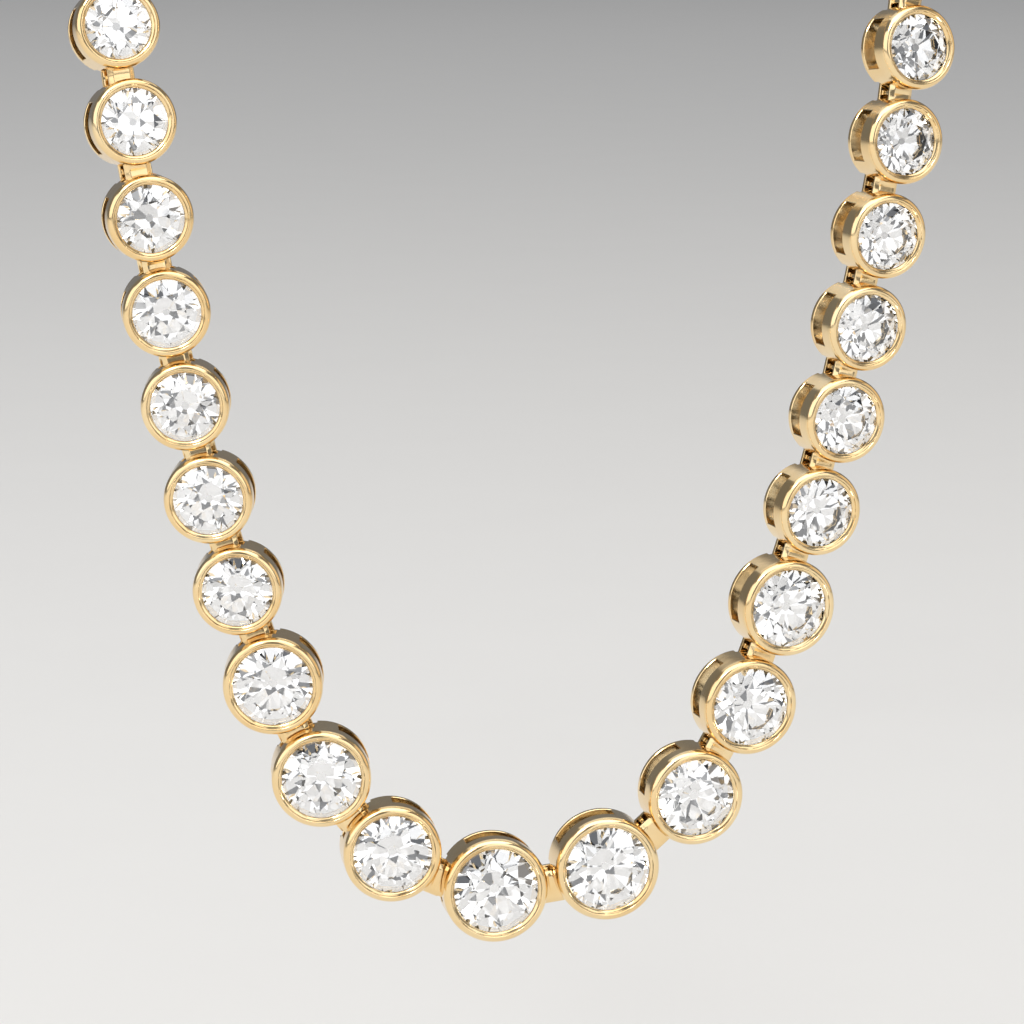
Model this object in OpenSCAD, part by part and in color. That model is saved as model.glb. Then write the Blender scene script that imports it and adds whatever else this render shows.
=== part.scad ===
/* [Chain] */
// Number of collets on each side of the front middle
side_count = 34; // [26:1:36]
// Number of larger collets on each side, next to the two at the middle
shoulder_count = 3; // [1:1:6]
// Gap between two neighbouring collets
gap = 0.58; // [0.5:0.02:0.9]
// Gap at each side of the two collets at the front middle
centre_gap = 1; // [0.9:0.05:1.2]
// Distance that the front middle lies off the route's lowest point
slide = 2.5; // [0:0.5:4]

/* [Collets] */
// Diameter of the two collets at the front middle
centre_d = 8.1; // [7.6:0.1:8.8]
// Diameter of the larger collets next to them
shoulder_d = 7.55; // [7:0.05:7.9]
// Diameter of the first tapering collet
side_d = 6.75; // [6.2:0.05:7.2]
// Diameter of the last collet, beside the clasp
back_d = 4.7; // [4.5:0.1:5.6]
// Height of every collet, from its rim to its back
collet_h = 3.5; // [3.4:0.1:4.2]
// Thickness of the collets' wall behind the stone
wall = 0.55; // [0.45:0.05:0.65]

/* [Rim] */
// Width of metal seen round the stone, on a middle collet
rim_w = 0.8; // [0.7:0.05:0.95]
// Width of the rim's rounded outer edge, on a middle collet
rim_round = 0.46; // [0.4:0.02:0.5]
// Depth of the rim's rounded outer edge, on a middle collet
rim_fall = 0.6; // [0.4:0.05:0.7]
// Depth of the rim's inner slope down to the stone, on a middle collet
lip_drop = 0.4; // [0.3:0.05:0.5]
// Width of the stone that the rim covers, on a middle collet
lip_hold = 0.15; // [0.1:0.01:0.2]
// Width of the ledge under the stone, on a middle collet
seat_w = 0.3; // [0.2:0.05:0.4]
// Space between a stone and its collet
stone_gap = 0.05; // [0.03:0.01:0.06]

/* [Windows] */
// Depth of the windows' front edge below the rim
window_top = 1.6; // [1.55:0.05:1.8]
// Thickness of the rail behind the side windows
rail_t = 0.4; // [0.3:0.05:0.6]
// Width of that rail, on a middle collet
rail_w = 1.5; // [1.3:0.05:1.6]
// Arc of each side window, in degrees
window_arc = 74; // [60:1:78]

/* [Links] */
// Width of a link's front bar between two middle collets
link_w = 2.5; // [2:0.1:2.8]
// Thickness of a link's front bar
front_t = 0.45; // [0.4:0.05:0.5]
// Width of the slopes at the front bar's two ends
front_slope = 0.35; // [0.2:0.05:0.45]
// Thickness of a link's rear bar
rear_t = 0.32; // [0.25:0.01:0.4]
// Amount by which the rear bar stands out past the front bar at each side
rear_lug = 0.25; // [0.1:0.05:0.3]
// Width of the link's ends inside two middle collets
eye_w = 1.2; // [1:0.1:1.3]
// Thickness of the link's ends
eye_t = 0.4; // [0.3:0.05:0.45]
// Thickness of the web that joins the two bars at the middle of a link
web_t = 0.3; // [0.2:0.05:0.4]
// Thickness of the hinge bar that a link holds
bar_t = 0.4; // [0.35:0.05:0.5]
// Space between a link and the metal in front of it and behind it
play = 0.18; // [0.16:0.01:0.2]
// Slack of a link along the chain, at each hinge bar
slack = 0.4; // [0.35:0.05:0.45]
// Space at each side of a link in its slot
side_play = 0.35; // [0.3:0.05:0.4]

/* [Stones] */
// Width of the table as a share of the stone's
table_share = 0.55; // [0.48:0.01:0.62]
// Height of the crown as a share of the stone's width
crown_share = 0.14; // [0.12:0.005:0.16]
// Depth of the pavilion as a share of the stone's width
pavilion_share = 0.405; // [0.38:0.005:0.41]
// Thickness of the girdle as a share of the stone's width
girdle_share = 0.018; // [0.012:0.002:0.024]
// Width of the culet as a share of the stone's
culet_share = 0.07; // [0.03:0.01:0.1]

/* [Clasp] */
// Length of the clasp along the chain
clasp_l = 12; // [9:0.5:16]
// Width of the clasp across the chain
clasp_w = 4.6; // [4.4:0.1:6]
// Rounding of the clasp's corners
clasp_round = 0.9; // [0.5:0.1:1.2]
// Thickness of the clasp's plate in front of the link slots
clasp_plate = 0.7; // [0.5:0.1:0.9]

/* [Hidden] */
// Half of the route that the hinge bars stand on, from the lowest point to the back of the neck
half_route = [
    [0, -45, -119], [7, -45, -117.5], [13, -45, -112.5], [17.5, -45, -105], [22.5, -45, -90.5],
    [26, -45, -76.5], [29, -45, -61], [31.5, -42.5, -46], [37, -36, -32], [43.5, -23, -21],
    [48.5, -5, -13], [48.5, 16, -7.5], [39.5, 36, -3.5], [22.5, 49.5, -1], [0, 53.5, 0]
];
// Radius that the faces of the hanging front spread from
spread_r = 60;
// Extra turn of the faces where the left side leaves the front, in degrees
twist = 24;
// Distances along the left side where that turn starts, is full, starts to fade and has gone
twist_span = [40, 74, 90, 215];
// How many of the front collets on each side are pieces of their own
front_count = 10;
// Number of facets round a stone's table
facets = 8;
// Width of the ring where the crown's facets meet, as a share of the stone's
crown_mid = 0.8;
// Width of the ring where the pavilion's facets meet, as a share of the stone's
pavilion_mid = 0.4;
// Turn from each stone to the next, and the turn after which a stone looks the same
spin_step = 137.5;
spin_period = 360 / facets;
// Bead of the rim: where it ends and where its inner foot lies, as shares of the rim's width
bead_end = 0.62;
bead_foot = 0.72;
// Heights of those two places below the rim, as shares of the inner slope's depth
bead_end_drop = 0.06;
bead_foot_drop = 0.35;
// Height of the rim's sharp inner edge, as a share of the inner slope's depth
lip_edge = 0.8;
// Depth of the slopes at a front bar's ends, as a share of its thickness
slope_drop = 0.6;
// Angle between the corners of a rounded edge's outline
round_step = 18;
corner_step = 30;
// Amount by which a cut passes through the outside
over = 1;
// Circle segments, turns of each distance search and its first trial length
round_fn = 64;
fit_steps = 6;
trial = 0.01;
close_enough = 0.0001;
gold = [0.93, 0.76, 0.43];
diamond = [0.93, 0.94, 0.96];

piece_count = 2 * side_count;
clasp_at = piece_count;
route_n = len(half_route) - 1;
front_y = half_route[0].y;

// Heights above and below the hinge bars' middle
rear_z = bar_t / 2 + play + rear_t;
rim_z = collet_h - rear_z;
front_z = bar_t / 2 + play + front_t;
slot_z = rim_z - window_top;
rail_z = rail_t - rear_z;

// Diameter of a collet, counted from the front middle
function side_diameter(j) =
    j == 0 ? centre_d
    : j <= shoulder_count ? shoulder_d
    : side_d + (back_d - side_d) * (j - shoulder_count - 1) / (side_count - shoulder_count - 2);

// Length of a piece along the chain, counted from the left of the clasp
function piece_length(i) =
    i == clasp_at ? clasp_l
    : i < side_count ? side_diameter(side_count - 1 - i)
    : side_diameter(i - side_count);

function bar_span(i) = piece_length(i) - wall;

// Distance between the two hinge bars that a link joins, for the link before the collet
// that is counted from the front middle
function link_span(j) = (j <= 1 ? centre_gap : gap) + wall;

function size_share(i) = piece_length(i == clasp_at ? 0 : i) / centre_d;

// A point of the whole route, which is the half and its mirror image
function route_point(i) =
    let (m = (i + 3 * route_n) % (2 * route_n) - route_n, p = half_route[abs(m)])
    m < 0 ? [-p.x, p.y, p.z] : p;

// The smooth curve through the route's points
function route_at(u) =
    let (
        i = floor(u),
        t = u - i,
        a = route_point(i - 1),
        b = route_point(i),
        c = route_point(i + 1),
        d = route_point(i + 2)
    )
    (2 * b + (c - a) * t + (2 * a - 5 * b + 4 * c - d) * t ^ 2 + (3 * b - a - 3 * c + d) * t ^ 3) / 2;

// The place on the route a straight distance away from another place on it
function refine(u, du, dist, turns) =
    turns == 0 ? u + du
    : refine(u, du * abs(dist) / norm(route_at(u + du) - route_at(u)), dist, turns - 1);

function step_along(u, dist) =
    let (speed = norm(route_at(u + trial) - route_at(u)) / trial)
    refine(u, dist / speed, dist, fit_steps);

// Length of one step from hinge bar to hinge bar: every odd one spans a collet, the others a link
function bar_step(k) = k % 2 == 1 ? side_diameter((k - 1) / 2) - wall : link_span(k / 2);

// Places along the route of one side's hinge bars, for a given size of the route
function bar_places(start, way, s) =
    [for (k = 0, u = start; k < 2 * side_count; k = k + 1, u = step_along(u, way * bar_step(k) / s)) u];

function right_start(s) = step_along(step_along(0, slide / s), link_span(0) / 2 / s);
function right_places(s) = bar_places(right_start(s), 1, s);
function left_places(s) = bar_places(step_along(right_start(s), -link_span(0) / s), -1, s);

// How much too wide the space for the clasp is
last_bar = 2 * side_count - 1;
function clasp_room(s) =
    s * (route_at(right_places(s)[last_bar]).x - route_at(left_places(s)[last_bar]).x)
    - (2 * link_span(side_count) + bar_span(clasp_at));

function fitted_size(s0, f0, s1, turns) =
    let (f1 = clasp_room(s1))
    turns == 0 || abs(f1) < close_enough || f1 == f0 ? s1
    : fitted_size(s1, f1, s1 - f1 * (s1 - s0) / (f1 - f0), turns - 1);

// Size of the route at which the chain and its clasp close the loop
route_size = fitted_size(1, clasp_room(1), 1 + trial, fit_steps);
places_r = right_places(route_size);
places_l = left_places(route_size);
left_bars = [for (u = places_l) route_size * route_at(u)];
right_bars = [for (u = places_r) route_size * route_at(u)];

// The two hinge bars of each piece, the nearer one first, counted from the left of the clasp
piece_bars = [
    for (i = [0:piece_count])
        i == clasp_at ? [right_bars[last_bar], left_bars[last_bar]]
        : i < side_count ? [left_bars[last_bar - 2 * i], left_bars[last_bar - 2 * i - 1]]
        : [right_bars[2 * (i - side_count)], right_bars[2 * (i - side_count) + 1]]
];

function unit(v) = v / norm(v);
function around(i) = (i + piece_count + 1) % (piece_count + 1);
function flatten_to(v, t) = unit(v - (v * t) * t);
function smooth(x) = let (c = max(0, min(1, x))) c * c * (3 - 2 * c);

// Middle of each piece and its directions along the chain and out of its face
centres = [for (b = piece_bars) (b[0] + b[1]) / 2];
tangents = [for (b = piece_bars) unit(b[1] - b[0])];

// Distance along the chain from its lowest point, negative on the left
function run_left(i) =
    i == side_count - 1 ? slide - (link_span(0) + bar_span(i)) / 2
    : run_left(i + 1) - (bar_span(i) + bar_span(i + 1)) / 2 - link_span(side_count - 1 - i);

function twist_at(i) =
    i >= side_count ? 0
    : let (d = -run_left(i))
        twist * smooth((d - twist_span[0]) / (twist_span[1] - twist_span[0]))
        * smooth((twist_span[3] - d) / (twist_span[3] - twist_span[2]));

function outward(p) = unit([p.x, p.y - spread_r * max(0, p.y / front_y), 0]);

function turned(v, angle) =
    [v.x * cos(angle) - v.y * sin(angle), v.x * sin(angle) + v.y * cos(angle), v.z];

normals = [
    for (i = [0:piece_count])
        flatten_to(turned(outward(centres[i] / route_size), twist_at(i)), tangents[i])
];

// Middles of the hinge bars at a piece's far and near ends
function bar_after(i) = centres[i] + tangents[i] * bar_span(i) / 2;
function bar_before(i) = centres[i] - tangents[i] * bar_span(i) / 2;

module framed(origin, along, out) {
    across = cross(out, along);
    multmatrix([
        [along.x, across.x, out.x, origin.x],
        [along.y, across.y, out.y, origin.y],
        [along.z, across.z, out.z, origin.z],
        [0, 0, 0, 1]
    ])
        children();
}

module at_piece(i) {
    framed(centres[i], tangents[i], normals[i])
        children();
}

// Size of a collet's rim against a middle one's: a smaller collet has a relatively wider rim
function rim_share(d) = (1 + d / centre_d) / 2;

// Sizes of the stone in a collet
function stone_r(d) = d / 2 - (rim_w - lip_hold) * rim_share(d);
function ring_rake(inner, mid, depth) =
    let (drop = (1 - mid * cos(180 / facets)) / (1 - inner)) drop * depth / (1 - mid);

crown_rake = ring_rake(table_share, crown_mid, 2 * crown_share);
pavilion_rake = ring_rake(culet_share * cos(180 / facets), pavilion_mid, 2 * pavilion_share);

// Height of the girdle's top edge, below the rim
function girdle_z(d) = -(lip_drop + lip_hold * crown_rake) * rim_share(d) - stone_gap;

// Half section of a collet, with the rim's top at height 0
module collet_section(d) {
    f = rim_share(d);
    r = d / 2;
    tip_r = r - rim_w * f;
    rail_r = r - rail_w * f;
    groove_r = stone_r(d) + stone_gap;
    groove_low = girdle_z(d) - girdle_share * 2 * stone_r(d) - stone_gap;
    seat_r = min(stone_r(d) - seat_w * f, r - wall - stone_gap);
    seat_z = groove_low - (groove_r - seat_r) * pavilion_rake;
    edge_w = min(rim_round, rim_w * bead_end) * f;
    edge_h = rim_fall * f;
    outer_edge = [for (a = [0:round_step:90]) [r - edge_w * (1 - cos(a)), edge_h * (sin(a) - 1)]];
    polygon(concat(
        [[r - wall, rail_t - collet_h], [rail_r, rail_t - collet_h], [rail_r, -collet_h], [r, -collet_h]],
        outer_edge,
        [
            [r - rim_w * bead_end * f, -lip_drop * bead_end_drop * f],
            [r - rim_w * bead_foot * f, -lip_drop * bead_foot_drop * f],
            [tip_r, -lip_drop * lip_edge * f],
            [tip_r, -lip_drop * f],
            [groove_r, -lip_drop * f - (groove_r - tip_r) * crown_rake],
            [groove_r, groove_low],
            [seat_r, seat_z],
            [r - wall, seat_z - (r - wall - seat_r)]
        ]
    ));
}

// A wedge that opens a window in the wall, centred on the across direction
module window_wedge(d) {
    side = d * sin(window_arc / 2);
    reach = d * cos(window_arc / 2);
    translate([0, 0, rail_z])
        linear_extrude(slot_z - rail_z)
            polygon([[0, 0], [side, reach], [-side, reach]]);
}

function slot_inner(half_length) = half_length - wall - slack - eye_t - side_play;

// The slot at one end of a piece that leaves the hinge bar standing
module link_slot(half_length, f) {
    inner = slot_inner(half_length);
    deep = half_length + over - inner;
    slot_w = link_w * f + 2 * side_play;
    notch_w = slot_w + 2 * rear_lug;
    translate([inner, -slot_w / 2, bar_t / 2])
        cube([deep, slot_w, slot_z - bar_t / 2]);
    translate([inner, -notch_w / 2, -rear_z - over])
        cube([deep, notch_w, rear_z + over - bar_t / 2]);
}

module collet(i) {
    d = piece_length(i);
    f = size_share(i);
    color(gold)
        at_piece(i)
            difference() {
                translate([0, 0, rim_z])
                    rotate_extrude($fn = round_fn)
                        collet_section(d);
                for (end = [0, 180])
                    rotate([0, 0, end]) {
                        window_wedge(d);
                        link_slot(d / 2, f);
                    }
            }
}

// Points of a brilliant cut from the table down to the culet
function ring_points(count, start, r, z) =
    [for (k = [0:count - 1]) [r * cos(start + 360 * k / count), r * sin(start + 360 * k / count), z]];

function stone_points(r) =
    let (
        half = 180 / facets,
        crown_h = 2 * r * crown_share,
        girdle_t = 2 * r * girdle_share,
        pavilion_h = 2 * r * pavilion_share,
        table_r = table_share,
        culet_x = culet_share * cos(half),
        crown_z = crown_h * (1 - (crown_mid * cos(half) - table_r) / (1 - table_r)),
        pavilion_z = -girdle_t - pavilion_h * (1 - pavilion_mid * cos(half)) / (1 - culet_x)
    )
    concat(
        ring_points(facets, 0, r * table_r, crown_h),
        ring_points(facets, half, r * crown_mid, crown_z),
        ring_points(2 * facets, 0, r, 0),
        ring_points(2 * facets, 0, r, -girdle_t),
        ring_points(facets, half, r * pavilion_mid, pavilion_z),
        ring_points(facets, half, r * culet_share, -girdle_t - pavilion_h)
    );

// Facets of the cut: table, stars, kites, halves, girdle, halves, mains and culet
function stone_faces() =
    let (
        n = facets,
        mid = n,
        top = 2 * n,
        low = 4 * n,
        pav = 6 * n,
        tip = 7 * n
    )
    concat(
        [[for (k = [0:n - 1]) n - 1 - k]],
        [for (k = [0:n - 1]) [k, (k + 1) % n, mid + k]],
        [for (k = [0:n - 1]) [k, mid + k, top + 2 * k, mid + (k + n - 1) % n]],
        [for (k = [0:n - 1]) [mid + k, top + 2 * k + 1, top + 2 * k]],
        [for (k = [0:n - 1]) [mid + k, top + (2 * k + 2) % (2 * n), top + 2 * k + 1]],
        [for (k = [0:2 * n - 1]) [top + k, top + (k + 1) % (2 * n), low + (k + 1) % (2 * n), low + k]],
        [for (k = [0:n - 1]) [pav + k, low + 2 * k, low + 2 * k + 1]],
        [for (k = [0:n - 1]) [pav + k, low + 2 * k + 1, low + (2 * k + 2) % (2 * n)]],
        [for (k = [0:n - 1]) let (b = (k + n - 1) % n) [low + 2 * k, pav + k, tip + k, tip + b, pav + b]],
        [[for (k = [0:n - 1]) tip + k]]
    );

module stone(i) {
    d = piece_length(i);
    color(diamond)
        at_piece(i)
            translate([0, 0, rim_z + girdle_z(d)])
                rotate([0, 0, stone_spin(i)])
                    polyhedron(stone_points(stone_r(d)), stone_faces(), convexity = 2);
}

// Each stone is set as it falls, so their facets lie at different angles
function stone_spin(i) = (i * spin_step) % spin_period;

function rounded_box(l, h, r) =
    [
        for (corner = [0:3], a = [0:corner_step:90])
            let (sx = corner == 0 || corner == 3 ? 1 : -1, sy = corner < 2 ? 1 : -1)
            [sx * (l / 2 - r) + r * cos(a + 90 * corner), sy * (h / 2 - r) + r * sin(a + 90 * corner)]
    ];

// A closed band of two eyes that pass through the slots and round the hinge bars, with a web across it
module link(i) {
    j = around(i + 1);
    from = bar_after(i);
    to = bar_before(j);
    along = unit(to - from);
    f = (size_share(i) + size_share(j)) / 2;
    inner_l = norm(to - from) + wall + 2 * slack;
    outer_l = inner_l + 2 * eye_t;
    half_w = link_w * f / 2;
    front_low = front_z - front_t;
    slope_z = front_z - front_t * slope_drop;
    corner = min(rear_t, eye_t) / 2;
    color(gold)
        framed((from + to) / 2, along, flatten_to(normals[i] + normals[j], along)) {
            rotate([90, 0, 0])
                linear_extrude(eye_w * f, center = true)
                    difference() {
                        translate([0, (front_z - rear_z) / 2])
                            polygon(rounded_box(outer_l, front_z + rear_z, corner));
                        square([inner_l, 2 * front_low], center = true);
                    }
            translate([-web_t / 2, -half_w, -rear_z])
                cube([web_t, 2 * half_w, rear_z + front_low]);
            translate([-outer_l / 2 + corner, 0, 0])
                rotate([90, 0, 90])
                    linear_extrude(outer_l - 2 * corner)
                        polygon([
                            [-half_w, front_low], [half_w, front_low],
                            [half_w, slope_z], [half_w - front_slope, front_z],
                            [front_slope - half_w, front_z], [-half_w, slope_z]
                        ]);
            translate([-inner_l / 2 + slack, -half_w - rear_lug, -rear_z])
                cube([inner_l - 2 * slack, 2 * (half_w + rear_lug), rear_t]);
        }
}

// The room for a link's end behind the hinge bar of a piece that is solid there
module link_well(half_length, f) {
    inner = slot_inner(half_length);
    slot_w = link_w * f + 2 * side_play;
    translate([inner, -slot_w / 2, -rear_z - over])
        cube([half_length - wall - inner, slot_w, rear_z + over + slot_z]);
}

// A plain closed box clasp with a hinge bar at each end
module clasp() {
    f = size_share(clasp_at);
    clasp_top = slot_z + clasp_plate;
    color(gold)
        at_piece(clasp_at)
            difference() {
                translate([0, 0, -rear_z])
                    linear_extrude(clasp_top + rear_z)
                        polygon(rounded_box(clasp_l, clasp_w, clasp_round));
                for (end = [0, 180])
                    rotate([0, 0, end]) {
                        link_slot(clasp_l / 2, f);
                        link_well(clasp_l / 2, f);
                    }
            }
}

first_front = side_count - front_count;
last_front = side_count + front_count - 1;

function numbered(word, k) = str(word, "_", k < 10 ? "0" : "", k);

collet_names = [for (k = [1:2 * front_count]) numbered("collet", k)];
stone_names = [for (k = [1:2 * front_count]) numbered("stone", k)];

module left_collets() {
    for (i = [0:first_front - 1])
        collet(i);
}

module right_collets() {
    for (i = [last_front + 1:piece_count - 1])
        collet(i);
}

module left_stones() {
    for (i = [0:first_front - 1])
        stone(i);
}

module right_stones() {
    for (i = [last_front + 1:piece_count - 1])
        stone(i);
}

module left_links() {
    for (i = [0:first_front - 1])
        link(i);
    link(clasp_at);
}

module front_links() {
    for (i = [first_front:last_front - 1])
        link(i);
}

module right_links() {
    for (i = [last_front:piece_count - 1])
        link(i);
}

for (k = [0:2 * front_count - 1])
    collet(first_front + k);
for (k = [0:2 * front_count - 1])
    stone(first_front + k);
left_collets();
right_collets();
left_stones();
right_stones();
left_links();
front_links();
right_links();
clasp();
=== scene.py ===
"""Riviere necklace: finely made collets, brilliants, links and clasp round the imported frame, in metres."""
import math

import bmesh
import bpy
from mathutils import Matrix, Vector


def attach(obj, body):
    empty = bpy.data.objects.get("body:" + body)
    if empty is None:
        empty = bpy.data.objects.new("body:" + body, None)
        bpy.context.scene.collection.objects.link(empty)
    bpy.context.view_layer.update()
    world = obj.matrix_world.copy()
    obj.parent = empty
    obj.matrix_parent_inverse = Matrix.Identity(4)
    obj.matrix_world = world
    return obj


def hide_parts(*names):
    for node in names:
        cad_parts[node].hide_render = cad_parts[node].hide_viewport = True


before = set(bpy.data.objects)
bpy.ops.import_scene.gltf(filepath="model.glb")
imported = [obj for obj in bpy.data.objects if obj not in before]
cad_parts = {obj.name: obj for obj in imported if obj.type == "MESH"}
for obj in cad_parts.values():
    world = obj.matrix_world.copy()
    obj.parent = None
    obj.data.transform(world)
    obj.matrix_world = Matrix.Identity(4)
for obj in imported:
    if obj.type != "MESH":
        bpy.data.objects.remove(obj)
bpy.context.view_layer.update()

MM = 0.001

# Sizes of the construction source, in millimetres
SIDE_COUNT, SHOULDER_COUNT, FRONT_COUNT = 34, 3, 10
GAP, CENTRE_GAP, SLIDE = 0.58, 1.0, 2.5
CENTRE_D, SHOULDER_D, SIDE_D, BACK_D = 8.1, 7.55, 6.75, 4.7
COLLET_H, WALL = 3.5, 0.55
RIM_W, RIM_ROUND, RIM_FALL = 0.8, 0.46, 0.6
LIP_DROP, LIP_HOLD, SEAT_W, STONE_GAP = 0.4, 0.15, 0.3, 0.05
WINDOW_TOP, RAIL_T, RAIL_W, WINDOW_ARC = 1.6, 0.4, 1.5, 74
LINK_W, FRONT_T, REAR_T, REAR_LUG = 2.5, 0.45, 0.32, 0.25
EYE_W, EYE_T, WEB_T, BAR_T, PLAY, SLACK, SIDE_PLAY = 1.2, 0.4, 0.3, 0.4, 0.18, 0.4, 0.35
TABLE, CROWN, PAVILION, GIRDLE, CULET = 0.55, 0.14, 0.385, 0.018, 0.07
CROWN_MID, PAVILION_MID, FACETS = 0.8, 0.26, 8
CLASP_L, CLASP_W, CLASP_ROUND, CLASP_PLATE = 12, 4.6, 0.9, 0.7
HALF_ROUTE = [
    (0, -45, -119), (7, -45, -117.5), (13, -45, -112.5), (17.5, -45, -105), (22.5, -45, -90.5),
    (26, -45, -76.5), (29, -45, -61), (31.5, -42.5, -46), (37, -36, -32), (43.5, -23, -21),
    (48.5, -5, -13), (48.5, 16, -7.5), (39.5, 36, -3.5), (22.5, 49.5, -1), (0, 53.5, 0),
]
SPREAD_R, TWIST, TWIST_SPAN = 60, 24, (40, 74, 90, 215)
SPIN_STEP = 137.5

PIECES = 2 * SIDE_COUNT
CLASP_AT = PIECES
ROUTE_N = len(HALF_ROUTE) - 1
REAR_Z = BAR_T / 2 + PLAY + REAR_T
RIM_Z = COLLET_H - REAR_Z
FRONT_Z = BAR_T / 2 + PLAY + FRONT_T
SLOT_Z = RIM_Z - WINDOW_TOP
RAIL_Z = RAIL_T - REAR_Z
LAST_BAR = 2 * SIDE_COUNT - 1

# Steps of the route's search
PROBE, STEP_TRIES = 0.01, 6
SIZE_TRIAL, SIZE_TRIES, SIZE_HIT = 0.01, 7, 1e-4


# ---- the chain's layout, worked out as in the construction source ----

def side_diameter(j):
    if j == 0:
        return CENTRE_D
    if j <= SHOULDER_COUNT:
        return SHOULDER_D
    return SIDE_D + (BACK_D - SIDE_D) * (j - SHOULDER_COUNT - 1) / (SIDE_COUNT - SHOULDER_COUNT - 2)


def link_span(j):
    return (CENTRE_GAP if j <= 1 else GAP) + WALL


def length_of(i):
    if i == CLASP_AT:
        return CLASP_L
    return side_diameter(SIDE_COUNT - 1 - i if i < SIDE_COUNT else i - SIDE_COUNT)


def share_of(i):
    return length_of(0 if i == CLASP_AT else i) / CENTRE_D


def route_point(i):
    m = (i + 3 * ROUTE_N) % (2 * ROUTE_N) - ROUTE_N
    x, y, z = HALF_ROUTE[abs(m)]
    return Vector((-x if m < 0 else x, y, z))


def route_at(u):
    i = math.floor(u)
    t = u - i
    a, b, c, d = (route_point(i + k) for k in (-1, 0, 1, 2))
    bend, twist = 2 * a - 5 * b + 4 * c - d, 3 * b - a - 3 * c + d
    return (2 * b + (c - a) * t + bend * t ** 2 + twist * t ** 3) / 2


def step_along(u, dist):
    here = route_at(u)
    du = dist * PROBE / (route_at(u + PROBE) - here).length
    for _ in range(STEP_TRIES):
        du *= abs(dist) / (route_at(u + du) - here).length
    return u + du


def bar_places(start, way, s):
    places = [start]
    for k in range(1, 2 * SIDE_COUNT):
        step = side_diameter((k - 1) // 2) - WALL if k % 2 else link_span(k // 2)
        places.append(step_along(places[-1], way * step / s))
    return places


def both_sides(s):
    right = step_along(step_along(0, SLIDE / s), link_span(0) / 2 / s)
    return bar_places(step_along(right, -link_span(0) / s), -1, s), bar_places(right, 1, s)


def clasp_room(s):
    left, right = both_sides(s)
    room = s * (route_at(right[LAST_BAR]).x - route_at(left[LAST_BAR]).x)
    return room - 2 * link_span(SIDE_COUNT) - (CLASP_L - WALL)


def fitted_size():
    s0, s1 = 1.0, 1 + SIZE_TRIAL
    f0 = clasp_room(s0)
    for _ in range(SIZE_TRIES):
        f1 = clasp_room(s1)
        if abs(f1) < SIZE_HIT or f1 == f0:
            break
        s0, f0, s1 = s1, f1, s1 - f1 * (s1 - s0) / (f1 - f0)
    return s1


def smooth(x):
    c = max(0.0, min(1.0, x))
    return c * c * (3 - 2 * c)


def flatten_to(v, t):
    return (v - v.dot(t) * t).normalized()


def lay_out():
    """Middle, direction along the chain and direction out of the face, of every collet and of the clasp."""
    size = fitted_size()
    left, right = ([size * route_at(u) for u in side] for side in both_sides(size))
    ends = [(left[LAST_BAR - 2 * i], left[LAST_BAR - 2 * i - 1]) for i in range(SIDE_COUNT)]
    ends += [(right[2 * j], right[2 * j + 1]) for j in range(SIDE_COUNT)]
    ends.append((right[LAST_BAR], left[LAST_BAR]))
    run = {SIDE_COUNT - 1: SLIDE - (link_span(0) + CENTRE_D - WALL) / 2}
    for i in range(SIDE_COUNT - 2, -1, -1):
        run[i] = run[i + 1] - (length_of(i) + length_of(i + 1)) / 2 + WALL - link_span(SIDE_COUNT - 1 - i)
    frames = []
    for i, (a, b) in enumerate(ends):
        centre, along = (a + b) / 2, (b - a).normalized()
        turn = 0.0
        if i < SIDE_COUNT:
            start, full, still, stop = TWIST_SPAN
            rise, fall = smooth((-run[i] - start) / (full - start)), smooth((stop + run[i]) / (stop - still))
            turn = TWIST * rise * fall
        p = centre / size
        out = Vector((p.x, p.y - SPREAD_R * max(0.0, p.y / HALF_ROUTE[0][1]), 0)).normalized()
        out = Matrix.Rotation(math.radians(turn), 3, "Z") @ out
        frames.append((centre, along, flatten_to(out, along)))
    return frames


def placed(origin, along, out):
    """Matrix from a piece's own millimetres to the frame's metres."""
    across = out.cross(along)
    m = Matrix((along, across, out)).transposed().to_4x4()
    m.translation = origin
    return Matrix.Scale(MM, 4) @ m


FRAMES = lay_out()


# ---- meshes, each in a piece's own millimetres ----

STONE_SLOT = 1
# Chamfers and other fine forms, in millimetres
CHAMFER, LINK_CHAMFER, CLASP_CHAMFER, CHAMFER_STEPS = 0.045, 0.05, 0.05, 2
LINK_VALLEY, VALLEY_HALF, FRONT_SLOPE, SLOPE_DROP = 0.05, 0.34, 0.35, 0.6
# How far behind the wall's outer face a fused side's link begins its eye, which is inside the hinge bar
FUSED_GRIP = 0.36
# Largest rounding of the clasp's corners, so that it stays clear of the wall's inner face
CORNER_LIMIT, CORNER_STEPS = WALL - 0.05, 4
TINY = 1e-5
# Angles in degrees above which an edge is shaded sharp: in general, and on the front links
SMOOTH_DEG, PLATE_DEG = 32, 10
# Angles in radians: above the first an edge is chamfered, and below the second two faces are one
SHARP, FLAT = 0.5, 0.01
# Degrees between a collet's columns, and how much coarser the fused sides' columns and rims are
COLUMN_STEP, COLUMN_SPARE, SIDE_SKIP = 4.0, 0.2, 2
# Zones of a collet's quarter, counted from the end of the chain's axis: slot, last of the notch, window
SLOT_ZONE, NOTCH_ZONE, WINDOW_ZONE = 0, 2, 6
# A rim's straight foot, and the degrees between the points of its outer rounding
RIM_FOOT, RIM_STEP = 0.15, 7.5
# Crest and bead of a rim: share of its width, and drop in millimetres
RIM_BEAD = [
    (0.56, 0.004), (0.6, 0.016), (0.635, 0.038), (0.67, 0.075), (0.7, 0.122), (0.72, 0.146),
    (0.75, 0.156), (0.82, 0.185), (0.9, 0.228), (0.96, 0.268), (0.99, 0.3), (1.0, 0.34),
]


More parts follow.
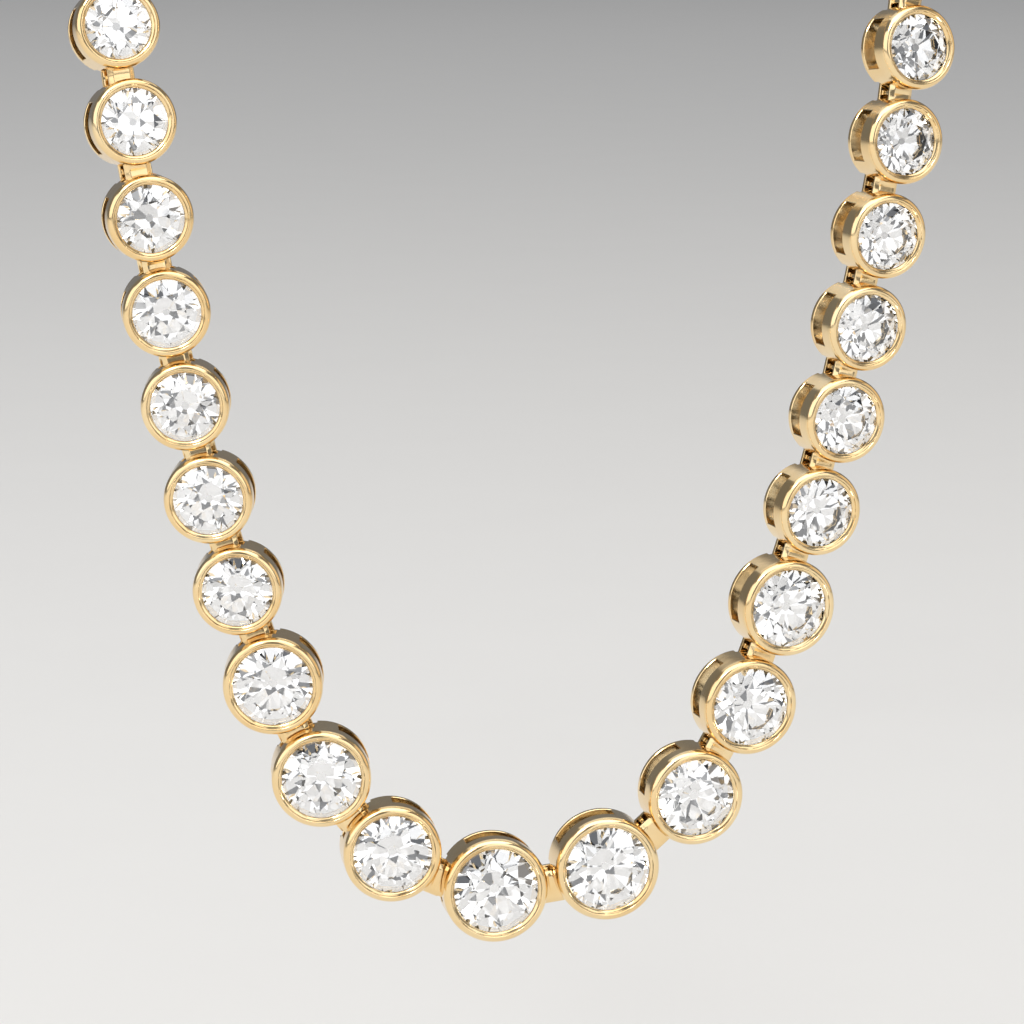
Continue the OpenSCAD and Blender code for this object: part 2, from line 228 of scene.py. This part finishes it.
def rim_share(d):
    return (1 + d / CENTRE_D) / 2


def stone_radius(d):
    return d / 2 - (RIM_W - LIP_HOLD) * rim_share(d)


def rake(inner, mid, depth):
    return (1 - mid * math.cos(math.pi / FACETS)) / (1 - inner) * depth / (1 - mid)


CROWN_RAKE = rake(TABLE, CROWN_MID, 2 * CROWN)
PAVILION_RAKE = rake(CULET * math.cos(math.pi / FACETS), PAVILION_MID, 2 * PAVILION)


def girdle_height(d):
    return RIM_Z - (LIP_DROP + LIP_HOLD * CROWN_RAKE) * rim_share(d) - STONE_GAP


def rim_profile(d, skip):
    """Outline of a collet above its windows: outer wall, rounded rim, inner slope, groove and seat.

    Only every skip-th point of the rim's curves is used.
    """
    f, r = rim_share(d), d / 2
    edge, fall, tip = RIM_ROUND * f, RIM_FALL * f, r - RIM_W * f
    groove = stone_radius(d) + STONE_GAP
    low = girdle_height(d) - GIRDLE * 2 * stone_radius(d) - STONE_GAP
    seat = min(stone_radius(d) - SEAT_W * f, r - WALL - STONE_GAP)
    seat_z = low - (groove - seat) * PAVILION_RAKE
    line = [(r, RIM_Z - fall - RIM_FOOT * f)]
    line += [(r - edge * (1 - math.cos(a)), RIM_Z + fall * (math.sin(a) - 1))
             for a in (math.radians(RIM_STEP * k) for k in range(0, len(RIM_BEAD), skip))]
    line += [(r - RIM_W * w * f, RIM_Z - drop * f) for w, drop in RIM_BEAD[skip - 1::skip]]
    lip = RIM_Z - LIP_DROP * f
    line += [(tip, lip), (groove, lip - (groove - tip) * CROWN_RAKE), (groove, low), (seat, seat_z),
             (r - WALL, seat_z - (r - WALL - seat))]
    return line


def collet_columns(d, skip):
    """Angles of a collet's mesh columns, outside and inside, and the zone of slot or window after each."""
    f = d / CENTRE_D
    slot = LINK_W * f / 2 + SIDE_PLAY
    notch = slot + REAR_LUG
    window = math.pi / 2 - math.radians(WINDOW_ARC / 2)
    quarters = []
    for r in (d / 2, d / 2 - WALL):
        c = CHAMFER / r
        quarters.append([0, math.asin(slot / r), math.asin(slot / r) + c, math.asin(notch / r),
                         math.asin(notch / r) + c, window - c, window, math.pi / 2])
    full = []
    outer, inner = quarters
    for k in range(len(outer) - 1):
        n = max(1, math.ceil(math.degrees(outer[k + 1] - outer[k]) / (COLUMN_STEP * skip) - COLUMN_SPARE))
        full += [[q[k] + (q[k + 1] - q[k]) * m / n for q in quarters] + [k] for m in range(n)]
    quarter = [(o, i) for o, i, _ in full]
    zones = [k for _, _, k in full]
    half = quarter + [(math.pi / 2, math.pi / 2)] + [(math.pi - o, math.pi - i) for o, i in quarter[:0:-1]]
    half_zones = zones + zones[::-1]
    columns = half + [(math.pi + o, math.pi + i) for o, i in half]
    return columns, half_zones + half_zones


def collet_mesh(bm, d, matrix, skip=1):
    """A collet as one closed skin of columns and rows, with slots at both ends and a window in each flank."""
    r = d / 2
    columns, zones = collet_columns(d, skip)
    rows = [-REAR_Z, -REAR_Z + CHAMFER, RAIL_Z - CHAMFER, RAIL_Z, -BAR_T / 2, -BAR_T / 2 + CHAMFER,
            BAR_T / 2 - CHAMFER, BAR_T / 2, SLOT_Z, SLOT_Z + CHAMFER]
    top = rim_profile(d, skip)
    n, m = len(columns), len(rows)

    def hole(i, j):
        if j < 0:
            return True
        if j >= m - 1:
            return False
        low, zone = rows[j], zones[i % n]
        if zone == SLOT_ZONE and BAR_T / 2 <= low < SLOT_Z:
            return True
        if zone <= NOTCH_ZONE and low < -BAR_T / 2:
            return True
        return zone == WINDOW_ZONE and RAIL_Z <= low < SLOT_Z

    def vertex(radius, angle, z):
        return bm.verts.new(matrix @ Vector((radius * math.cos(angle), radius * math.sin(angle), z)))

    skins = ([], [])
    for i, angles in enumerate(columns):
        for side, (skin, way) in enumerate(zip(skins, (-1, 1))):
            line = []
            for j, z in enumerate(rows):
                around = [hole(i + a, j + b) for a in (-1, 0) for b in (-1, 0)]
                if all(around):
                    line.append(None)
                    continue
                inside = r - (RAIL_W * rim_share(d) if z < RAIL_Z + TINY else WALL)
                radius = (r if side == 0 else inside) + (way * CHAMFER if any(around) else 0)
                line.append(vertex(radius, angles[side], z))
            skin.append(line)
    upper = [[vertex(pr, angles[0] if k < len(top) - 1 else angles[1], pz) for k, (pr, pz) in enumerate(top)]
             for angles in columns]
    outer, inner = skins
    for i in range(n):
        e = (i + 1) % n
        for j in range(m - 1):
            if hole(i, j):
                continue
            bm.faces.new((outer[i][j], outer[e][j], outer[e][j + 1], outer[i][j + 1]))
            bm.faces.new((inner[i][j + 1], inner[e][j + 1], inner[e][j], inner[i][j]))
            if hole(i, j - 1):
                bm.faces.new((outer[e][j], outer[i][j], inner[i][j], inner[e][j]))
            if hole(i, j + 1):
                bm.faces.new((outer[i][j + 1], outer[e][j + 1], inner[e][j + 1], inner[i][j + 1]))
            if hole(i - 1, j):
                bm.faces.new((outer[i][j], outer[i][j + 1], inner[i][j + 1], inner[i][j]))
            if hole(i + 1, j):
                bm.faces.new((outer[e][j + 1], outer[e][j], inner[e][j], inner[e][j + 1]))
        ring = [outer[i][-1], *upper[i], inner[i][-1]]
        beside = [outer[e][-1], *upper[e], inner[e][-1]]
        for k in range(len(ring) - 1):
            bm.faces.new((ring[k], beside[k], beside[k + 1], ring[k + 1]))


# Sides and height of the blank from which a brilliant of radius 1 is cut
GIRDLE_SIDES, BLANK_H = 64, 3


def brilliant(table, crown_deg, star_share, pavilion_deg, half_share, culet):
    """A brilliant of radius 1, its girdle's top edge at height 0, cut plane by plane from a round blank."""
    bm = bmesh.new()
    girdle = 2 * GIRDLE
    bmesh.ops.create_cone(bm, cap_ends=True, segments=GIRDLE_SIDES, radius1=1, radius2=1, depth=BLANK_H)
    step = math.pi / FACETS

    def cut(azimuth, slope, point, up):
        normal = Vector((math.sin(slope) * math.cos(azimuth), math.sin(slope) * math.sin(azimuth),
                         math.cos(slope) if up else -math.cos(slope)))
        geom = bm.verts[:] + bm.edges[:] + bm.faces[:]
        made = bmesh.ops.bisect_plane(
            bm, geom=geom, dist=TINY, plane_co=point, plane_no=normal, clear_outer=True)
        edges = [e for e in made["geom_cut"] if isinstance(e, bmesh.types.BMEdge)]
        if edges:
            bmesh.ops.contextual_create(bm, geom=edges)

    def at(radius, azimuth, z):
        return Vector((radius * math.cos(azimuth), radius * math.sin(azimuth), z))

    crown, pavilion = math.radians(crown_deg), math.radians(pavilion_deg)
    high = (1 - table) * math.tan(crown)
    deep = girdle + (1 - culet) * math.tan(pavilion)
    cut(0, 0, Vector((0, 0, high)), True)
    cut(0, 0, Vector((0, 0, -deep)), False)
    # where the stars' and upper halves' tips meet, on the kite between them
    tip = table + (1 - table) * star_share
    tip_point = at(tip, step, (1 - tip * math.cos(step)) * math.tan(crown))
    low_tip = 1 - half_share
    low_point = at(low_tip, step, -girdle - (1 - low_tip * math.cos(step)) * math.tan(pavilion))
    edge_r = table * math.cos(step)
    star = math.atan2(high - tip_point.z, tip - edge_r)
    for k in range(FACETS):
        a = 2 * step * k
        cut(a, crown, at(1, a, 0), True)
        cut(a, pavilion, at(1, a, -girdle), False)
    for k in range(FACETS):
        a = 2 * step * k + step
        cut(a, star, at(edge_r, a, high), True)
    for up, meet, level in ((True, tip_point, 0.0), (False, low_point, -girdle)):
        for k in range(FACETS):
            for way in (-1, 1):
                lean = way * step / 2
                # the half facet holds the meeting point and touches the girdle's round beside it
                run = 1 - meet.xy.length * math.cos(step / 2)
                slope = math.atan2(abs(meet.z - level), run)
                cut(2 * step * k + step - lean, slope, at(1, 2 * step * k + step - lean, level), up)
    for face in bm.faces:
        face.material_index = STONE_SLOT
        face.smooth = False
    mesh = bpy.data.meshes.new("cut")
    bm.normal_update()
    bm.to_mesh(mesh)
    bm.free()
    return mesh


def block_mesh(bm, xs, ys, zs, filled, matrix, bevel, valley=0.0, slope=0.0, corner=0.0):
    """A body made of the filled cells of a grid, with its edges bevelled.

    Its front can have a shallow valley across the middle and ends that slope in, and the body round corners.
    """
    made = bmesh.new()
    verts = {}

    def vertex(i, j, k):
        if (i, j, k) not in verts:
            verts[i, j, k] = made.verts.new((xs[i], ys[j], zs[k]))
        return verts[i, j, k]

    def full(i, j, k):
        return 0 <= i < len(xs) - 1 and 0 <= j < len(ys) - 1 and 0 <= k < len(zs) - 1 and filled(
            (xs[i] + xs[i + 1]) / 2, (ys[j] + ys[j + 1]) / 2, (zs[k] + zs[k + 1]) / 2)

    near, far = ((0, 0), (1, 0), (1, 1), (0, 1)), ((0, 0), (0, 1), (1, 1), (1, 0))
    for i in range(len(xs) - 1):
        for j in range(len(ys) - 1):
            for k in range(len(zs) - 1):
                if not full(i, j, k):
                    continue
                if not full(i + 1, j, k):
                    made.faces.new([vertex(i + 1, j + a, k + b) for a, b in near])
                if not full(i - 1, j, k):
                    made.faces.new([vertex(i, j + a, k + b) for a, b in far])
                if not full(i, j + 1, k):
                    made.faces.new([vertex(i + a, j + 1, k + b) for a, b in far])
                if not full(i, j - 1, k):
                    made.faces.new([vertex(i + a, j, k + b) for a, b in near])
                if not full(i, j, k + 1):
                    made.faces.new([vertex(i + a, j + b, k + 1) for a, b in near])
                if not full(i, j, k - 1):
                    made.faces.new([vertex(i + a, j + b, k) for a, b in far])
    for vert in made.verts:
        if abs(vert.co.z - zs[-1]) < TINY:
            if abs(abs(vert.co.y) - ys[-2]) < TINY:
                vert.co.y -= math.copysign(slope, vert.co.y)
            vert.co.z -= valley * max(0, 1 - abs(vert.co.x) / VALLEY_HALF)
    bmesh.ops.dissolve_limit(made, angle_limit=FLAT, verts=made.verts[:], edges=made.edges[:])
    round_profile = {"profile": 0.5, "affect": "EDGES"}

    def at_corner(vert):
        return abs(abs(vert.co.x) - xs[-1]) < TINY and abs(abs(vert.co.y) - ys[-1]) < TINY

    if corner:
        upright = [e for e in made.edges if all(at_corner(v) for v in e.verts)]
        bmesh.ops.bevel(made, geom=upright, offset=corner, segments=CORNER_STEPS, **round_profile)
    sharp = [e for e in made.edges if e.is_manifold and e.calc_face_angle() > SHARP]
    bmesh.ops.bevel(
        made, geom=sharp, offset=bevel, segments=CHAMFER_STEPS, clamp_overlap=True, **round_profile)
    scratch = bpy.data.meshes.new("scratch")
    made.to_mesh(scratch)
    made.free()
    scratch.transform(matrix)
    bm.from_mesh(scratch)
    bpy.data.meshes.remove(scratch)


def link_mesh(bm, span, f, matrix, grip):
    """A hinge link: a closed band round two hinge bars, with a wide plate in front and a wider bar behind.

    With grip its eyes reach into the bars, so that the three can be fused.
    """
    inner = span / 2 - WALL / 2 + FUSED_GRIP if grip else span / 2 + WALL / 2 + SLACK
    outer = span / 2 + WALL / 2 + SLACK + EYE_T
    hole = BAR_T / 2 + PLAY
    reach = span / 2 + WALL / 2
    corner = min(REAR_T, EYE_T) / 2
    eye, wide, lug = EYE_W * f / 2, LINK_W * f / 2, LINK_W * f / 2 + REAR_LUG
    half_xs = {WEB_T / 2, VALLEY_HALF, reach, inner, outer - corner, outer}
    xs = sorted({0, *half_xs, *(-x for x in half_xs)})
    ys = [-lug, -wide, -eye, eye, wide, lug]
    zs = [-REAR_Z, -hole, hole, FRONT_Z - FRONT_T * SLOPE_DROP, FRONT_Z]

    def filled(x, y, z):
        x, y = abs(x), abs(y)
        if z > hole:
            return y < wide and x < outer - corner or y < eye
        if z < -hole:
            return x < reach or y < eye
        return y < eye and x > inner or y < wide and x < WEB_T / 2

    block_mesh(bm, xs, ys, zs, filled, matrix, LINK_CHAMFER, LINK_VALLEY, FRONT_SLOPE)


def clasp_mesh(bm, matrix):
    """A plain closed box clasp with a hinge bar and a slot at each end."""
    f = share_of(CLASP_AT)
    half, wide, high = CLASP_L / 2, CLASP_W / 2, SLOT_Z + CLASP_PLATE
    inner = half - WALL - SLACK - EYE_T - SIDE_PLAY
    slot = LINK_W * f / 2 + SIDE_PLAY
    notch = slot + REAR_LUG
    xs = [-half, -half + WALL, -inner, inner, half - WALL, half]
    ys = [-wide, -notch, -slot, slot, notch, wide]
    zs = [-REAR_Z, -BAR_T / 2, BAR_T / 2, SLOT_Z, high]

    def filled(x, y, z):
        x, y = abs(x), abs(y)
        if x < inner or z > SLOT_Z or y > notch:
            return True
        if z < -BAR_T / 2:
            return False
        return y > slot or (z < BAR_T / 2 and x > half - WALL)

    block_mesh(bm, xs, ys, zs, filled, matrix, CLASP_CHAMFER, corner=min(CLASP_ROUND, CORNER_LIMIT))


# ---- pieces ----

def new_piece(name, bm, materials, sharp_deg=SMOOTH_DEG):
    bmesh.ops.recalc_face_normals(bm, faces=bm.faces[:])
    mesh = bpy.data.meshes.new(name)
    bm.to_mesh(mesh)
    bm.free()
    for material in materials:
        mesh.materials.append(material)
    if sharp_deg:
        mesh.shade_smooth()
        mesh.set_sharp_from_angle(angle=math.radians(sharp_deg))
    piece = bpy.data.objects.new(name, mesh)
    bpy.context.scene.collection.objects.link(piece)
    return piece


def collet_matrix(i):
    return placed(*FRAMES[i])


def stone_matrix(i):
    """Places a unit brilliant in its collet, turned as it happened to be set and leaning a very little."""
    d = length_of(i)
    r = stone_radius(d)
    spin = Matrix.Rotation(math.radians(i * SPIN_STEP % (360 / FACETS)), 4, "Z")
    lean_x = math.radians(STONE_LEAN * math.sin(i * LEAN_X))
    lean_y = math.radians(STONE_LEAN * math.cos(i * LEAN_Y))
    lean = Matrix.Rotation(lean_x, 4, "X") @ Matrix.Rotation(lean_y, 4, "Y")
    seat = collet_matrix(i) @ Matrix.Translation((0, 0, girdle_height(d)))
    return seat @ lean @ spin @ Matrix.Scale(r, 4)


def link_place(i):
    """Matrix, span and size share of the link after piece i."""
    j = (i + 1) % (PIECES + 1)
    a = FRAMES[i][0] + FRAMES[i][1] * (length_of(i) - WALL) / 2
    b = FRAMES[j][0] - FRAMES[j][1] * (length_of(j) - WALL) / 2
    along = (b - a).normalized()
    out = flatten_to(FRAMES[i][2] + FRAMES[j][2], along)
    return placed((a + b) / 2, along, out), (b - a).length, (share_of(i) + share_of(j)) / 2


# Largest lean of a stone in degrees, and the phase steps that give each stone its own
STONE_LEAN, LEAN_X, LEAN_Y = 0.8, 2.4, 1.7
# How far a fused stone grows, in plays, so that it meets its groove
STONE_GRIP = 1.6
# Table, crown angle, stars' length, pavilion angle, lower halves' length and culet of the four cuts
CUTS = [
    brilliant(0.55, 32.5, 0.5, 42.7, 0.6, 0.1),
    brilliant(0.52, 33.6, 0.48, 43.2, 0.56, 0.11),
    brilliant(0.57, 31.8, 0.5, 42.4, 0.64, 0.09),
    brilliant(0.54, 33.0, 0.55, 43.0, 0.58, 0.1),
]


def add_stone(bm, i, grow=1.0):
    part = bmesh.new()
    part.from_mesh(CUTS[-i % len(CUTS)])
    part.transform(stone_matrix(i) @ Matrix.Scale(grow, 4))
    scratch = bpy.data.meshes.new("scratch")
    part.to_mesh(scratch)
    part.free()
    bm.from_mesh(scratch)
    bpy.data.meshes.remove(scratch)


# ---- materials ----

def nodes_of(name):
    material = bpy.data.materials.new(name)
    material.use_nodes = True
    tree = material.node_tree
    return material, tree.nodes, tree.links, tree.nodes["Principled BSDF"]


def add_node(nodes, kind, **sockets):
    node = nodes.new(kind)
    for key, value in sockets.items():
        node.inputs[key.replace("_", " ")].default_value = value
    return node


def gold_material():
    """Polished yellow gold with faint clouding, fine polishing marks and tiny handling scratches."""
    material, nodes, links, shader = nodes_of("gold")
    shader.inputs["Metallic"].default_value = 1.0
    where = nodes.new("ShaderNodeTexCoord")
    cloud = add_node(nodes, "ShaderNodeTexNoise", Scale=260.0, Detail=3.0)
    links.new(where.outputs["Object"], cloud.inputs["Vector"])
    tint = nodes.new("ShaderNodeValToRGB")
    tint.color_ramp.elements[0].position, tint.color_ramp.elements[1].position = 0.35, 0.7
    tint.color_ramp.elements[0].color = (*GOLD_DEEP, 1)
    tint.color_ramp.elements[1].color = (*GOLD_PALE, 1)
    links.new(cloud.outputs["Fac"], tint.inputs["Fac"])
    links.new(tint.outputs["Color"], shader.inputs["Base Color"])
    gloss = nodes.new("ShaderNodeMapRange")
    gloss.inputs["To Min"].default_value, gloss.inputs["To Max"].default_value = GOLD_ROUGHNESS
    patches = add_node(nodes, "ShaderNodeTexNoise", Scale=900.0, Detail=4.0)
    links.new(where.outputs["Object"], patches.inputs["Vector"])
    links.new(patches.outputs["Fac"], gloss.inputs["Value"])
    links.new(gloss.outputs["Result"], shader.inputs["Roughness"])
    stretch = nodes.new("ShaderNodeMapping")
    stretch.inputs["Scale"].default_value = (1.0, 0.35, 1.7)
    stretch.inputs["Rotation"].default_value = (0.4, 0.7, 0.2)
    links.new(where.outputs["Object"], stretch.inputs["Vector"])
    marks = add_node(nodes, "ShaderNodeTexNoise", Scale=2600.0, Detail=5.0)
    links.new(stretch.outputs["Vector"], marks.inputs["Vector"])
    dents = add_node(nodes, "ShaderNodeTexNoise", Scale=700.0, Detail=2.0)
    links.new(where.outputs["Object"], dents.inputs["Vector"])
    both = nodes.new("ShaderNodeMath")
    both.operation = "MULTIPLY_ADD"
    both.inputs[1].default_value = 0.35
    links.new(marks.outputs["Fac"], both.inputs[0])
    links.new(dents.outputs["Fac"], both.inputs[2])
    bump = add_node(nodes, "ShaderNodeBump", Strength=0.35, Distance=0.00002)
    links.new(both.outputs["Value"], bump.inputs["Height"])
    links.new(bump.outputs["Normal"], shader.inputs["Normal"])
    return material


def diamond_material():
    """Clear diamond; the faint clouding only roughens it where real stones carry grease and dust."""
    material, nodes, links, shader = nodes_of("diamond")
    shader.inputs["Base Color"].default_value = (*DIAMOND_TINT, 1)
    shader.inputs["Transmission Weight"].default_value = 1.0
    shader.inputs["IOR"].default_value = 2.417
    where = nodes.new("ShaderNodeTexCoord")
    film = add_node(nodes, "ShaderNodeTexNoise", Scale=500.0, Detail=3.0)
    links.new(where.outputs["Object"], film.inputs["Vector"])
    gloss = nodes.new("ShaderNodeMapRange")
    gloss.inputs["From Min"].default_value = 0.55
    gloss.inputs["To Min"].default_value, gloss.inputs["To Max"].default_value = 0.0, 0.03
    links.new(film.outputs["Fac"], gloss.inputs["Value"])
    links.new(gloss.outputs["Result"], shader.inputs["Roughness"])
    return material


def floor_material():
    material, nodes, links, shader = nodes_of("floor")
    where = nodes.new("ShaderNodeTexCoord")
    grain = add_node(nodes, "ShaderNodeTexNoise", Scale=40.0, Detail=4.0)
    links.new(where.outputs["Object"], grain.inputs["Vector"])
    tone = nodes.new("ShaderNodeValToRGB")
    tone.color_ramp.elements[0].color = (*(0.98 * c for c in FLOOR_TINT), 1)
    tone.color_ramp.elements[1].color = (*FLOOR_TINT, 1)
    links.new(grain.outputs["Fac"], tone.inputs["Fac"])
    links.new(tone.outputs["Color"], shader.inputs["Base Color"])
    shader.inputs["Roughness"].default_value = 0.9
    return material


GOLD_PALE, GOLD_DEEP, GOLD_ROUGHNESS = (0.96, 0.76, 0.45), (0.92, 0.66, 0.33), (0.09, 0.2)
DIAMOND_TINT, FLOOR_TINT = (0.99, 0.99, 0.99), (0.78, 0.77, 0.75)
GOLD, DIAMOND = gold_material(), diamond_material()


# ---- the necklace ----

def finish_piece(piece, slot, *replaced):
    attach(piece, "root")
    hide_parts(*replaced)


def keep_largest(mesh):
    """Keeps only the largest of a mesh's loose bodies, so that no closed pocket stays inside the metal."""
    bm = bmesh.new()
    bm.from_mesh(mesh)
    unseen, bodies = set(bm.faces), []
    while unseen:
        front = [unseen.pop()]
        body = list(front)
        while front:
            for edge in front.pop().edges:
                for face in edge.link_faces:
                    if face in unseen:
                        unseen.remove(face)
                        front.append(face)
                        body.append(face)
        bodies.append(body)
    bodies.sort(key=len)
    for body in bodies[:-1]:
        bmesh.ops.delete(bm, geom=body, context="FACES")
    bm.to_mesh(mesh)
    bm.free()


def union(name, parts):
    """One closed body out of overlapping ones."""
    base = parts[0]
    for other in parts[1:]:
        tool = base.modifiers.new("union", "BOOLEAN")
        tool.operation, tool.solver, tool.object = "UNION", "MANIFOLD", other
    bpy.context.view_layer.update()
    made = bpy.data.meshes.new_from_object(base.evaluated_get(bpy.context.evaluated_depsgraph_get()))
    for part in parts:
        bpy.data.objects.remove(part)
    made.name = name
    keep_largest(made)
    made.set_sharp_from_angle(angle=math.radians(SMOOTH_DEG))
    for face in made.polygons:
        if face.material_index == STONE_SLOT:
            face.use_smooth = False
    piece = bpy.data.objects.new(name, made)
    bpy.context.scene.collection.objects.link(piece)
    return piece


def add_front():
    first = SIDE_COUNT - FRONT_COUNT
    for k in range(2 * FRONT_COUNT):
        i = first + k
        bm = bmesh.new()
        collet_mesh(bm, length_of(i), collet_matrix(i))
        node = f"collet_{k + 1:02d}"
        finish_piece(new_piece(f"{node}_fine", bm, [GOLD]), "gold", node)
        bm = bmesh.new()
        add_stone(bm, i)
        for face in bm.faces:
            face.material_index = 0
        node = f"stone_{k + 1:02d}"
        finish_piece(new_piece(f"{node}_fine", bm, [DIAMOND], 0), "diamond", node)
        if k < 2 * FRONT_COUNT - 1:
            bm = bmesh.new()
            matrix, span, f = link_place(i)
            link_mesh(bm, span, f, matrix, False)
            finish_piece(new_piece(f"front_link_{k + 1:02d}", bm, [GOLD], PLATE_DEG), "gold", "front_links")


def add_side(name, collets, links):
    """The collets, stones and links of one side as one body."""
    parts = []
    for kind in ("collets", "stones", "links"):
        bm = bmesh.new()
        for i in collets if kind != "links" else links:
            if kind == "collets":
                collet_mesh(bm, length_of(i), collet_matrix(i), SIDE_SKIP)
            elif kind == "stones":
                add_stone(bm, i, 1 + STONE_GRIP * STONE_GAP / stone_radius(length_of(i)))
            else:
                matrix, span, f = link_place(i)
                link_mesh(bm, span, f, matrix, True)
        sharp_deg = 0 if kind == "stones" else SMOOTH_DEG
        parts.append(new_piece(f"{name}_{kind}", bm, [GOLD, DIAMOND], sharp_deg))
    finish_piece(union(f"{name}_chain", parts), "gold", f"{name}_collets", f"{name}_stones", f"{name}_links")


add_front()
add_side("left", range(SIDE_COUNT - FRONT_COUNT), [CLASP_AT, *range(SIDE_COUNT - FRONT_COUNT)])
add_side("right", range(SIDE_COUNT + FRONT_COUNT, PIECES), range(SIDE_COUNT + FRONT_COUNT - 1, PIECES))
clasp = bmesh.new()
clasp_mesh(clasp, collet_matrix(CLASP_AT))
finish_piece(new_piece("clasp_fine", clasp, [GOLD]), "gold", "clasp")
for cut in CUTS:
    bpy.data.meshes.remove(cut)


# ---- floor, light and camera ----

def add_floor():
    bm = bmesh.new()
    bmesh.ops.create_grid(bm, x_segments=2, y_segments=2, size=FLOOR_HALF)
    mesh = bpy.data.meshes.new("floor")
    bm.to_mesh(mesh)
    bm.free()
    mesh.materials.append(floor_material())
    floor = bpy.data.objects.new("floor", mesh)
    floor.location.z = FLOOR_Z
    bpy.context.scene.collection.objects.link(floor)


def add_softbox(name, at, aim, size, power, tint=(1, 1, 1)):
    data = bpy.data.lights.new(name, "AREA")
    data.shape, data.energy, data.color = "RECTANGLE", power, tint
    data.size, data.size_y = size
    light = bpy.data.objects.new(name, data)
    light.location = at
    light.rotation_euler = (Vector(aim) - Vector(at)).to_track_quat("-Z", "Y").to_euler()
    bpy.context.scene.collection.objects.link(light)


def add_camera():
    data = bpy.data.cameras.new("camera")
    data.sensor_width, data.lens = 36, LENS
    data.clip_start, data.clip_end = 0.01, 50
    camera = bpy.data.objects.new("camera", data)
    side, up = math.radians(CAMERA_SIDE), math.radians(CAMERA_UP)
    look = Vector((math.sin(side) * math.cos(up), math.cos(side) * math.cos(up), -math.sin(up)))
    camera.location = Vector(CAMERA_AIM) * MM - look * CAMERA_FAR
    camera.rotation_euler = look.to_track_quat("-Z", "Y").to_euler()
    bpy.context.scene.collection.objects.link(camera)
    bpy.context.scene.camera = camera


FLOOR_Z, FLOOR_HALF = -0.15, 4.0
WORLD_TINT, WORLD_LIGHT, WARM = (0.62, 0.64, 0.68), 0.3, (1.0, 0.8, 0.56)
# The camera's lens, its degrees to the left and up, its distance in metres and its aim in millimetres
LENS, CAMERA_SIDE, CAMERA_UP, CAMERA_FAR, CAMERA_AIM = 153.7, 10, 9, 0.33, (-0.8, -47.5, -89.1)
# Where most lights aim; each softbox then has its place, aim and size in metres and its power in watts
TARGET = (0, -0.045, -0.08)
add_floor()
add_softbox("left", (-0.86, -0.55, 0.3), TARGET, (1.6, 0.8), 4.8)
add_softbox("right", (0.42, -1.0, 0.3), TARGET, (0.95, 0.8), 2.8)
add_softbox("side", (1.0, 0.0, 0.22), TARGET, (1.0, 0.65), 1.3, WARM)
add_softbox("top", (-0.1, -0.3, 0.9), TARGET, (1.4, 1.0), 8.5)
add_softbox("spark", (-0.5, -0.6, 0.75), TARGET, (0.22, 0.22), 2.2)
add_softbox("back", (0.2, 1.7, 1.6), (0.2, 1.7, FLOOR_Z), (2.6, 2.6), 14)
world = bpy.data.worlds.new("studio")
bpy.context.scene.world = world
world.use_nodes = True
world.node_tree.nodes["Background"].inputs["Color"].default_value = (*WORLD_TINT, 1)
world.node_tree.nodes["Background"].inputs["Strength"].default_value = WORLD_LIGHT
bpy.context.scene.view_settings.view_transform = "Standard"
add_camera()
